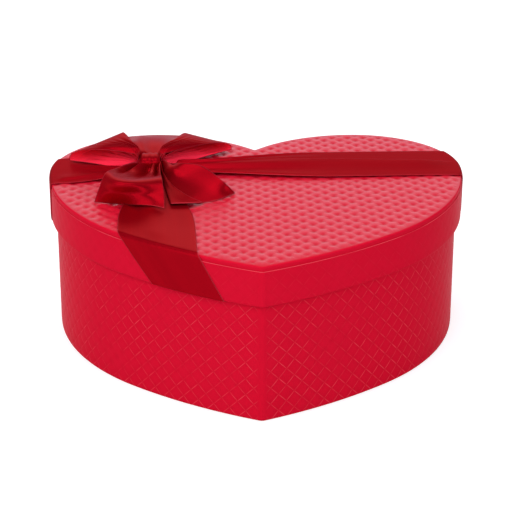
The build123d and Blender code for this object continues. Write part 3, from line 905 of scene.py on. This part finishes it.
class HEARTBOX_OT_bow_tails(bpy.types.Operator):
    """Lets down the bow's two cut ends"""

    bl_idname = "heart_box.bow_tails"
    bl_label = "Bow Tails"

    ROWS, COLUMNS = 56, 48
    LEFT_GATHERED, LEFT_SWAY = 0.85, 0.3
    RIGHT_GATHERED, RIGHT_SWAY = 0.7, 1.1
    # Guides in millimetres over the lid, each from the knot to the cut end
    LEFT = (
        ((-62.5, 36.5, 5), (-75.3, 22.1, 7.5), (-81, -3.2, 14.5), (-84.6, -8.6, 8), (-87.4, -11.4, 0.75)),
        ((-60.3, 36, 5), (-69.5, 21.3, 5.5), (-74.9, -13.5, 14.5), (-76.3, -16.9, 8.5), (-77.1, -13.9, 0.8)),
        ((-58, 35.8, 5), (-62.9, 20.6, 4.8), (-66.4, -14.9, 13.8), (-65.7, -18.8, 8.2), (-65.4, -20.2, 2.4)),
        ((-55.7, 35.6, 5), (-56.9, 19.9, 5), (-57.9, -8.3, 12), (-56.2, -17.7, 7.2), (-55.6, -22.5, 2.6)),
        ((-53.5, 35.5, 5), (-52.8, 18.3, 6), (-51.3, -4.8, 11.5), (-49.9, -16.4, 7), (-49.7, -26, 2.6)),
    )
    # The right end's left part is folded over: the last two guides lie over the ones before them
    RIGHT = (
        ((-51.5, 40.5, 5.5), (-45.8, 24.6, 10.2), (-41.2, 15.2, 12.8),
         (-29.8, 11.8, 12.3), (-18.7, 0.7, 7.6), (-12.2, 0.3, 0.75)),
        ((-52.2, 39.1, 5.4), (-47.6, 22.8, 9.6), (-44, 13.7, 11.5),
         (-35, 8.7, 9.8), (-23.9, -1.8, 5.3), (-16.4, -5.1, 0.75)),
        ((-52.8, 37.9, 5), (-49.6, 23.9, 7.8), (-47, 12.3, 10.2),
         (-40.5, 6.2, 7.6), (-30.5, -5.7, 3.9), (-22.2, -10.5, 0.75)),
        ((-53.4, 36.9, 4.6), (-51.5, 26.8, 5.2), (-50, 18.4, 5.8),
         (-45.5, 4.9, 4.8), (-37.5, -10.2, 3.1), (-30, -14.4, 1)),
        ((-54, 36.1, 4.2), (-52.6, 28.5, 3.8), (-51.6, 22.6, 3.4),
         (-48.6, 7.2, 2.9), (-43, -8.7, 2.6), (-38.1, -17.7, 2)),
        ((-54.6, 35.9, 4), (-53.4, 28.7, 3.8), (-52.3, 22.8, 3.6),
         (-50.6, 9.1, 3.3), (-48.6, -6.1, 3.1), (-46.5, -19.8, 2.8)),
        ((-54.2, 35.6, 5.6), (-52.7, 26.3, 5.2), (-51.5, 19.1, 4.8),
         (-48.1, 3.1, 4.4), (-43, -11.9, 4.1), (-37.9, -20.8, 3.3)),
        ((-53.6, 35.7, 6.6), (-52, 25.8, 6.1), (-50.7, 17.9, 5.6),
         (-45.7, 2, 5), (-37.5, -12.3, 4.4), (-29.5, -17.4, 2.5)),
    )

    def execute(self, context):
        cut = context.scene.ribbon_cut
        tails = {
            "left": BowTail(cut, self.LEFT, self.LEFT_GATHERED, self.LEFT_SWAY),
            "right": BowTail(cut, self.RIGHT, self.RIGHT_GATHERED, self.RIGHT_SWAY),
        }
        for side, tail in tails.items():
            ribbon_sheet(
                context, f"bow_tail_{side}", self.ROWS, self.COLUMNS, tail.place,
                (cut.width, cut_length(tail.place)),
            )
        return {"FINISHED"}


class HEARTBOX_OT_bow_knot(bpy.types.Operator):
    """Rolls the short gathered band round the middle of the bow"""

    bl_idname = "heart_box.bow_knot"
    bl_label = "Bow Knot"

    ROWS, COLUMNS = 56, 28
    GATHERS = 3
    GATHER_SHARE, GATHER_SWAY = 0.05, 0.8
    FULLNESS = 0.75
    CURL_SHARE, PINCH_SHARE = 0.22, 0.10
    # The flat cut's width over the knot's, and its length over the knot's girth
    CUT_WIDTH, CUT_LENGTH = 1.15, 1.1
    ASIDE = Vector((2 * MM, 0, 0))

    def execute(self, context):
        size = KNOT_HIGH - KNOT_LOW
        girth = pi * (size.y + size.z) / 2
        ribbon_sheet(
            context, "bow_knot", self.ROWS, self.COLUMNS, self.place,
            (size.x * self.CUT_WIDTH, girth * self.CUT_LENGTH),
        )
        return {"FINISHED"}

    def place(self, length_share, width_share):
        """Where a share of the way round the roll and of its width goes."""
        size = (KNOT_HIGH - KNOT_LOW) / 2
        turn = 2 * pi * length_share - pi / 2
        across = 2 * width_share - 1
        curl = 1 - self.CURL_SHARE * across**4
        gather = 1 + self.GATHER_SHARE * cos(pi * self.GATHERS * across + self.GATHER_SWAY * sin(turn))
        roll_y = abs(cos(turn)) ** self.FULLNESS * (1 if cos(turn) > 0 else -1)
        roll_z = abs(sin(turn)) ** self.FULLNESS * (1 if sin(turn) > 0 else -1)
        pinch = 1 - self.PINCH_SHARE * roll_z
        return KNOT - self.ASIDE + Vector(
            (size.x * across * pinch, size.y * roll_y * curl * gather, size.z * roll_z * curl * gather)
        )


# Materials

# Roughness of coated paper and satin between their fibres and on them
GLOSS_RANGE = (0.32, 0.44)
# Heights of the emboss from its painted pit shade to its lighter crown, and the clouding over which the
# painted edge highlights come and go
RELIEF_RANGE, HIGHLIGHT_CLOUD_RANGE = (0.2, 0.95), (0.30, 0.56)
# Where the satin gives way to its woven edges, from the middle out, and to its hem, along the ribbon
WOVEN_RANGE, HEM_RANGE = (0.488, 0.496), (0.982, 0.992)
# The satin's darkest and lightest tone over its own colour
SATIN_SHADES = (0.85, 1.12)


def new_material(name):
    """A material with its Principled shader and its node tree."""
    material = bpy.data.materials.new(name)
    material.use_nodes = True
    return material, material.node_tree, material.node_tree.nodes["Principled BSDF"]


def set_input(socket, value):
    """Gives an input its value, or joins it to the output that it reads."""
    if isinstance(value, bpy.types.NodeSocket):
        socket.id_data.links.new(value, socket)
    else:
        socket.default_value = value


def feed(node, **values):
    """Sets a node's inputs, with _ for each space in a name, and its other settings."""
    for name, value in values.items():
        socket = node.inputs.get(name.replace("_", " "))
        if socket:
            set_input(socket, value)
        else:
            setattr(node, name, value)
    return node


def add_node(tree, kind, **values):
    """The outputs of a new node, with its inputs and settings."""
    return feed(tree.nodes.new(kind), **values).outputs


def add_sum(tree, operation, *numbers):
    """The result of a new Math node."""
    node = tree.nodes.new("ShaderNodeMath")
    node.operation = operation
    for socket, number in zip(node.inputs, numbers):
        set_input(socket, number)
    return node.outputs[0]


def map_range(tree, value, first, last, to_first=0, to_last=1):
    """A value taken from one range to another and kept in it."""
    ends = {"From_Min": first, "From_Max": last, "To_Min": to_first, "To_Max": to_last}
    return add_node(tree, "ShaderNodeMapRange", Value=value, **ends)["Result"]


def mix_colours(tree, share, a, b):
    """The colour at a share of the way from a to b, each a colour or an output."""
    a, b = (end if isinstance(end, bpy.types.NodeSocket) else (*end, 1) for end in (a, b))
    return add_node(tree, "ShaderNodeMix", data_type="RGBA", Factor=share, A=a, B=b)["Result"]


def add_bump(tree, height, strength, distance):
    """The normal of a fine bump."""
    return add_node(tree, "ShaderNodeBump", Height=height, Strength=strength, Distance=distance)["Normal"]


def open_group(name, inputs, outputs):
    """An empty shader node group with named sockets, or None in place of its tree if it exists."""
    if name in bpy.data.node_groups:
        return bpy.data.node_groups[name], None, None, None
    group = bpy.data.node_groups.new(name, "ShaderNodeTree")
    for socket, kind in inputs:
        group.interface.new_socket(socket, in_out="INPUT", socket_type=kind)
    for socket, kind in outputs:
        group.interface.new_socket(socket, in_out="OUTPUT", socket_type=kind)
    return group, group, group.nodes.new("NodeGroupInput"), group.nodes.new("NodeGroupOutput")


def paper_grain():
    """Node group: soft clouding and fine fibres of paper or board, from a place on the piece."""
    group, tree, given, out = open_group(
        "Paper grain",
        [("Place", "NodeSocketVector"), ("Fibre scale", "NodeSocketFloat")],
        [("Cloud", "NodeSocketFloat"), ("Fibre", "NodeSocketFloat")],
    )
    if tree:
        place, scale = given.outputs["Place"], given.outputs["Fibre scale"]
        cloud = add_node(tree, "ShaderNodeTexNoise", Vector=place, Scale=38.0, Detail=3.0, Roughness=0.55)
        fibre = add_node(tree, "ShaderNodeTexNoise", Vector=place, Scale=scale, Detail=4.0, Roughness=0.65)
        feed(out, Cloud=cloud["Fac"], Fibre=fibre["Fac"])
    return group


def place_grain(tree, fibre_scale):
    """The outputs of the paper grain in a material, read from object coordinates."""
    place = add_node(tree, "ShaderNodeTexCoord")["Object"]
    return add_node(tree, "ShaderNodeGroup", node_tree=paper_grain(), Place=place, Fibre_scale=fibre_scale)


def red_paper(name, gloss_level, pit_shade_share, highlight_share):
    """Coated red paper: painted shade darkens it in the emboss's pits, painted light pales its crowns,
    painted highlights pale the strips' edges, with faint fibres.
    """
    emboss = bpy.context.scene.paper_emboss
    material, tree, shader = new_material(name)
    grain = place_grain(tree, fibre_scale=1500.0)
    relief = add_node(tree, "ShaderNodeAttribute", attribute_name="relief")["Fac"]
    # The edge attribute carries the painted highlights along the strips' edges; the clouding makes them come
    # and go
    edge = add_node(tree, "ShaderNodeAttribute", attribute_name="edge")["Fac"]
    # Painted shade and light: the red darkens in the emboss's pits and lightens on its crowns, by the
    # emboss's height
    tone = map_range(tree, relief, *RELIEF_RANGE, to_first=1 - pit_shade_share)
    shades = mix_colours(tree, tone, emboss.groove_red, emboss.ridge_red)
    clouded = mix_colours(tree, grain["Cloud"], shades, emboss.red)
    highlight_amount = map_range(tree, grain["Cloud"], *HIGHLIGHT_CLOUD_RANGE, to_last=highlight_share)
    lines = mix_colours(tree, add_sum(tree, "MULTIPLY", highlight_amount, edge), clouded, emboss.line_red)
    gloss = map_range(tree, grain["Fibre"], 0, 1, *GLOSS_RANGE)
    bump = add_bump(tree, grain["Fibre"], strength=0.12, distance=0.00008)
    feed(shader, Base_Color=lines, Roughness=gloss, Normal=bump, Specular_IOR_Level=gloss_level)
    return material


def plain_paper(name, colour, fibre_scale, spread, roughness):
    """Uncoated paper or board: one colour, clouded and flecked with fibres."""
    rougher = 0.08
    material, tree, shader = new_material(name)
    grain = place_grain(tree, fibre_scale)
    dark = [value * (1 - spread) for value in colour]
    light = [min(value * (1 + spread), 1) for value in colour]
    both = add_sum(tree, "MULTIPLY_ADD", grain["Fibre"], 0.5, add_sum(tree, "MULTIPLY", grain["Cloud"], 0.5))
    flecks = mix_colours(tree, both, dark, light)
    gloss = map_range(tree, grain["Cloud"], 0, 1, roughness - rougher, roughness + rougher)
    bump = add_bump(tree, grain["Fibre"], strength=0.25, distance=0.0001)
    feed(shader, Base_Color=flecks, Roughness=gloss, Normal=bump, Specular_IOR_Level=0.3)
    return material


def satin_threads():
    """Node group: fine warp threads, a slow change of tone and thin woven edges, from a ribbon's UV map."""
    group, tree, given, out = open_group(
        "Satin threads",
        [("Flat place", "NodeSocketVector")],
        [("Thread", "NodeSocketFloat"), ("Tone", "NodeSocketFloat"), ("Edge", "NodeSocketFloat")],
    )
    if tree:
        flat = given.outputs["Flat place"]
        for name, scale in (("Thread", (7.0, 260.0, 1.0)), ("Tone", (2.5, 9.0, 1.0))):
            drawn = add_node(tree, "ShaderNodeMapping", Vector=flat, Scale=scale)["Vector"]
            noise = add_node(tree, "ShaderNodeTexNoise", Vector=drawn, Scale=1.0, Detail=2.0, Roughness=0.5)
            set_input(out.inputs[name], noise["Fac"])
        parts = add_node(tree, "ShaderNodeSeparateXYZ", Vector=flat)
        aside = add_sum(tree, "ABSOLUTE", add_sum(tree, "SUBTRACT", parts["Y"], 0.5))
        woven = map_range(tree, aside, *WOVEN_RANGE)
        hem = map_range(tree, parts["X"], *HEM_RANGE)
        feed(out, Edge=add_sum(tree, "MAXIMUM", woven, hem))
    return group


def satin(name, colour, lustre):
    """Satin: a smooth face with fine threads, a soft streaky gloss tinted by the cloth, paler woven edges."""
    if name in bpy.data.materials:
        return bpy.data.materials[name]
    cut = bpy.context.scene.ribbon_cut
    material, tree, shader = new_material(name)
    flat = add_node(tree, "ShaderNodeUVMap", uv_map="UVMap")["UV"]
    threads = add_node(tree, "ShaderNodeGroup", node_tree=satin_threads(), Flat_place=flat)
    dark, light = ([value * share for value in colour] for share in SATIN_SHADES)
    shades = mix_colours(tree, threads["Tone"], dark, light)
    edges = mix_colours(tree, threads["Edge"], shades, cut.edge_red)
    gloss = map_range(tree, threads["Thread"], 0, 1, *GLOSS_RANGE)
    bump = add_bump(tree, threads["Thread"], strength=0.10, distance=0.00005)
    tangent = add_node(tree, "ShaderNodeTangent", direction_type="UV_MAP", uv_map="UVMap")["Tangent"]
    feed(shader, Base_Color=edges, Roughness=gloss, Normal=bump, Tangent=tangent, Metallic=lustre)
    feed(shader, Anisotropic=0.8, Anisotropic_Rotation=0.25)
    feed(shader, Specular_IOR_Level=0.02, Specular_Tint=(*cut.sheen, 1))
    return material


class HEARTBOX_OT_boards(bpy.types.Operator):
    """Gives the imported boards, linings and foot sheet their paper and board finishes"""

    bl_idname = "heart_box.boards"
    bl_label = "Boards and Linings"

    LININGS = ("base_floor_lining", "base_wall_lining", "lid_lining")
    BOARDS = (
        "base_floor_board",
        "base_wall_board_left",
        "base_wall_board_right",
        "lid_top_board",
        "lid_rim_board_left",
        "lid_rim_board_right",
    )

    def execute(self, context):
        emboss = context.scene.paper_emboss
        lining = plain_paper("Lining paper", emboss.lining, fibre_scale=900.0, spread=0.06, roughness=0.78)
        board = plain_paper("Greyboard", emboss.board, fibre_scale=500.0, spread=0.22, roughness=0.85)
        foot = plain_paper("Red foot sheet", emboss.red, fibre_scale=1100.0, spread=0.10, roughness=0.55)
        finishes = ((self.LININGS, lining), (self.BOARDS, board), (("base_foot_sheet",), foot))
        for nodes, material in finishes:
            for node in nodes:
                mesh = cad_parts[node].data
                mesh.materials.clear()
                mesh.materials.append(material)
        return {"FINISHED"}


class HEARTBOX_OT_stage(bpy.types.Operator):
    """Sets up the floor, the lamps, the room's light and the camera"""

    bl_idname = "heart_box.stage"
    bl_label = "Studio Stage"

    # Each lamp: its place, its width and height and the setting of its power
    LAMPS = {
        "Front lamp": ((-0.90, -1.25, 1.00), 2.0, 1.6, "key_power"),
        "Side lamp": ((1.15, -1.00, 0.75), 1.1, 1.0, "side_power"),
        "Top lamp": ((0.0, 0.10, 1.60), 1.2, 1.0, "top_power"),
        "Back panel": ((0.0, 1.60, 0.66), 1.8, 0.6, "back_power"),
    }
    SENSOR_WIDTH = 36.0
    FLOOR_RADIUS = 6.0
    FLOOR_GLOW = 0.60
    # The room brightens from its front to its back, and the higher up the darker
    ROOM_FRONT, ROOM_BACK, ROOM_FALL = -0.5, 0.6, -1.2

    def execute(self, context):
        scene, stage = context.scene, context.scene.studio_stage
        scene.view_settings.view_transform = "Standard"
        self.lay_floor(scene, stage)
        self.light_room(scene, stage)
        for name, (place, width, height, power) in self.LAMPS.items():
            self.hang_lamp(scene, name, place, width, height, getattr(stage, power))
        camera = bpy.data.cameras.new("Camera")
        camera.lens = stage.lens
        camera.sensor_width = self.SENSOR_WIDTH
        camera.shift_x = stage.shift_x
        scene.camera = self.stand(scene, "Camera", camera, stage.camera_place, stage.camera_aim)
        return {"FINISHED"}

    def stand(self, scene, name, data, place, aim):
        """Stands a lamp or camera at a place, turned in a direction."""
        holder = bpy.data.objects.new(name, data)
        holder.location = place
        holder.rotation_euler = Vector(aim).to_track_quat("-Z", "Y").to_euler()
        scene.collection.objects.link(holder)
        return holder

    def lay_floor(self, scene, stage):
        """A wide pale floor: the camera sees it near white, with the box's soft shadow on it."""
        bm = bmesh.new()
        bmesh.ops.create_circle(bm, cap_ends=True, segments=96, radius=self.FLOOR_RADIUS)
        mesh = bpy.data.meshes.new("Floor")
        bm.to_mesh(mesh)
        bm.free()
        floor_piece = bpy.data.objects.new("Floor", mesh)
        scene.collection.objects.link(floor_piece)
        material, tree, shader = new_material("Pale floor")
        seen = add_node(tree, "ShaderNodeLightPath")
        mirrored = add_sum(tree, "MAXIMUM", seen["Is Glossy Ray"], seen["Is Transmission Ray"])
        either = add_sum(tree, "MAXIMUM", seen["Is Camera Ray"], mirrored)
        glow = add_sum(tree, "MULTIPLY", either, self.FLOOR_GLOW)
        feed(shader, Base_Color=(*stage.floor, 1), Roughness=0.9, Specular_IOR_Level=0.0)
        feed(shader, Emission_Color=(1, 1, 1, 1), Emission_Strength=glow)
        mesh.materials.append(material)

    def light_room(self, scene, stage):
        """Soft, faintly blue room light, brightest low down behind the box."""
        world = bpy.data.worlds.new("Room")
        world.use_nodes = True
        scene.world = world
        tree = world.node_tree
        toward = add_node(tree, "ShaderNodeTexCoord")["Generated"]
        parts = add_node(tree, "ShaderNodeSeparateXYZ", Vector=toward)
        lower = add_sum(tree, "MULTIPLY_ADD", parts["Z"], self.ROOM_FALL, parts["Y"])
        levels = stage.front_level, stage.back_level
        level = map_range(tree, lower, self.ROOM_FRONT, self.ROOM_BACK, *levels)
        feed(tree.nodes["Background"], Color=(*stage.room, 1), Strength=level)

    def hang_lamp(self, scene, name, place, width, height, power):
        """A soft rectangular lamp aimed at the middle of the box."""
        lamp = bpy.data.lights.new(name, "AREA")
        lamp.shape = "RECTANGLE"
        lamp.size = width
        lamp.size_y = height
        lamp.energy = power
        self.stand(scene, name, lamp, place, Vector((0, 0, LID_TOP / 2)) - Vector(place))


class HEARTBOX_PT_pieces(bpy.types.Panel):
    """Lists the settings and the pieces of the heart box"""

    bl_idname = "HEARTBOX_PT_pieces"
    bl_label = "Heart Box"
    bl_space_type = "VIEW_3D"
    bl_region_type = "UI"
    bl_category = "Heart Box"

    def draw(self, context):
        for name, group in SETTINGS.items():
            column = self.layout.column(heading=group.__name__)
            for prop in group.__annotations__:
                column.prop(getattr(context.scene, name), prop)
        for operator in OPERATORS:
            self.layout.operator(operator.bl_idname)


OPERATORS = (
    HEARTBOX_OT_boards,
    HEARTBOX_OT_lid_top_paper,
    HEARTBOX_OT_lid_rim_paper,
    HEARTBOX_OT_base_wall_paper,
    HEARTBOX_OT_ribbon_bands,
    HEARTBOX_OT_bow_loops,
    HEARTBOX_OT_bow_tails,
    HEARTBOX_OT_bow_knot,
    HEARTBOX_OT_stage,
)


def register():
    for name, group in SETTINGS.items():
        bpy.utils.register_class(group)
        setattr(bpy.types.Scene, name, PointerProperty(type=group))
    for operator in OPERATORS:
        bpy.utils.register_class(operator)
    bpy.utils.register_class(HEARTBOX_PT_pieces)


def unregister():
    bpy.utils.unregister_class(HEARTBOX_PT_pieces)
    for operator in reversed(OPERATORS):
        bpy.utils.unregister_class(operator)
    for name, group in reversed(SETTINGS.items()):
        delattr(bpy.types.Scene, name)
        bpy.utils.unregister_class(group)


def main():
    """Registers the add-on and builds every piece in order."""
    register()
    bpy.ops.heart_box.boards()
    bpy.ops.heart_box.lid_top_paper()
    bpy.ops.heart_box.lid_rim_paper()
    bpy.ops.heart_box.base_wall_paper()
    bpy.ops.heart_box.ribbon_bands()
    bpy.ops.heart_box.bow_loops()
    bpy.ops.heart_box.bow_tails()
    bpy.ops.heart_box.bow_knot()
    bpy.ops.heart_box.stage()


if __name__ == "__main__":
    main()
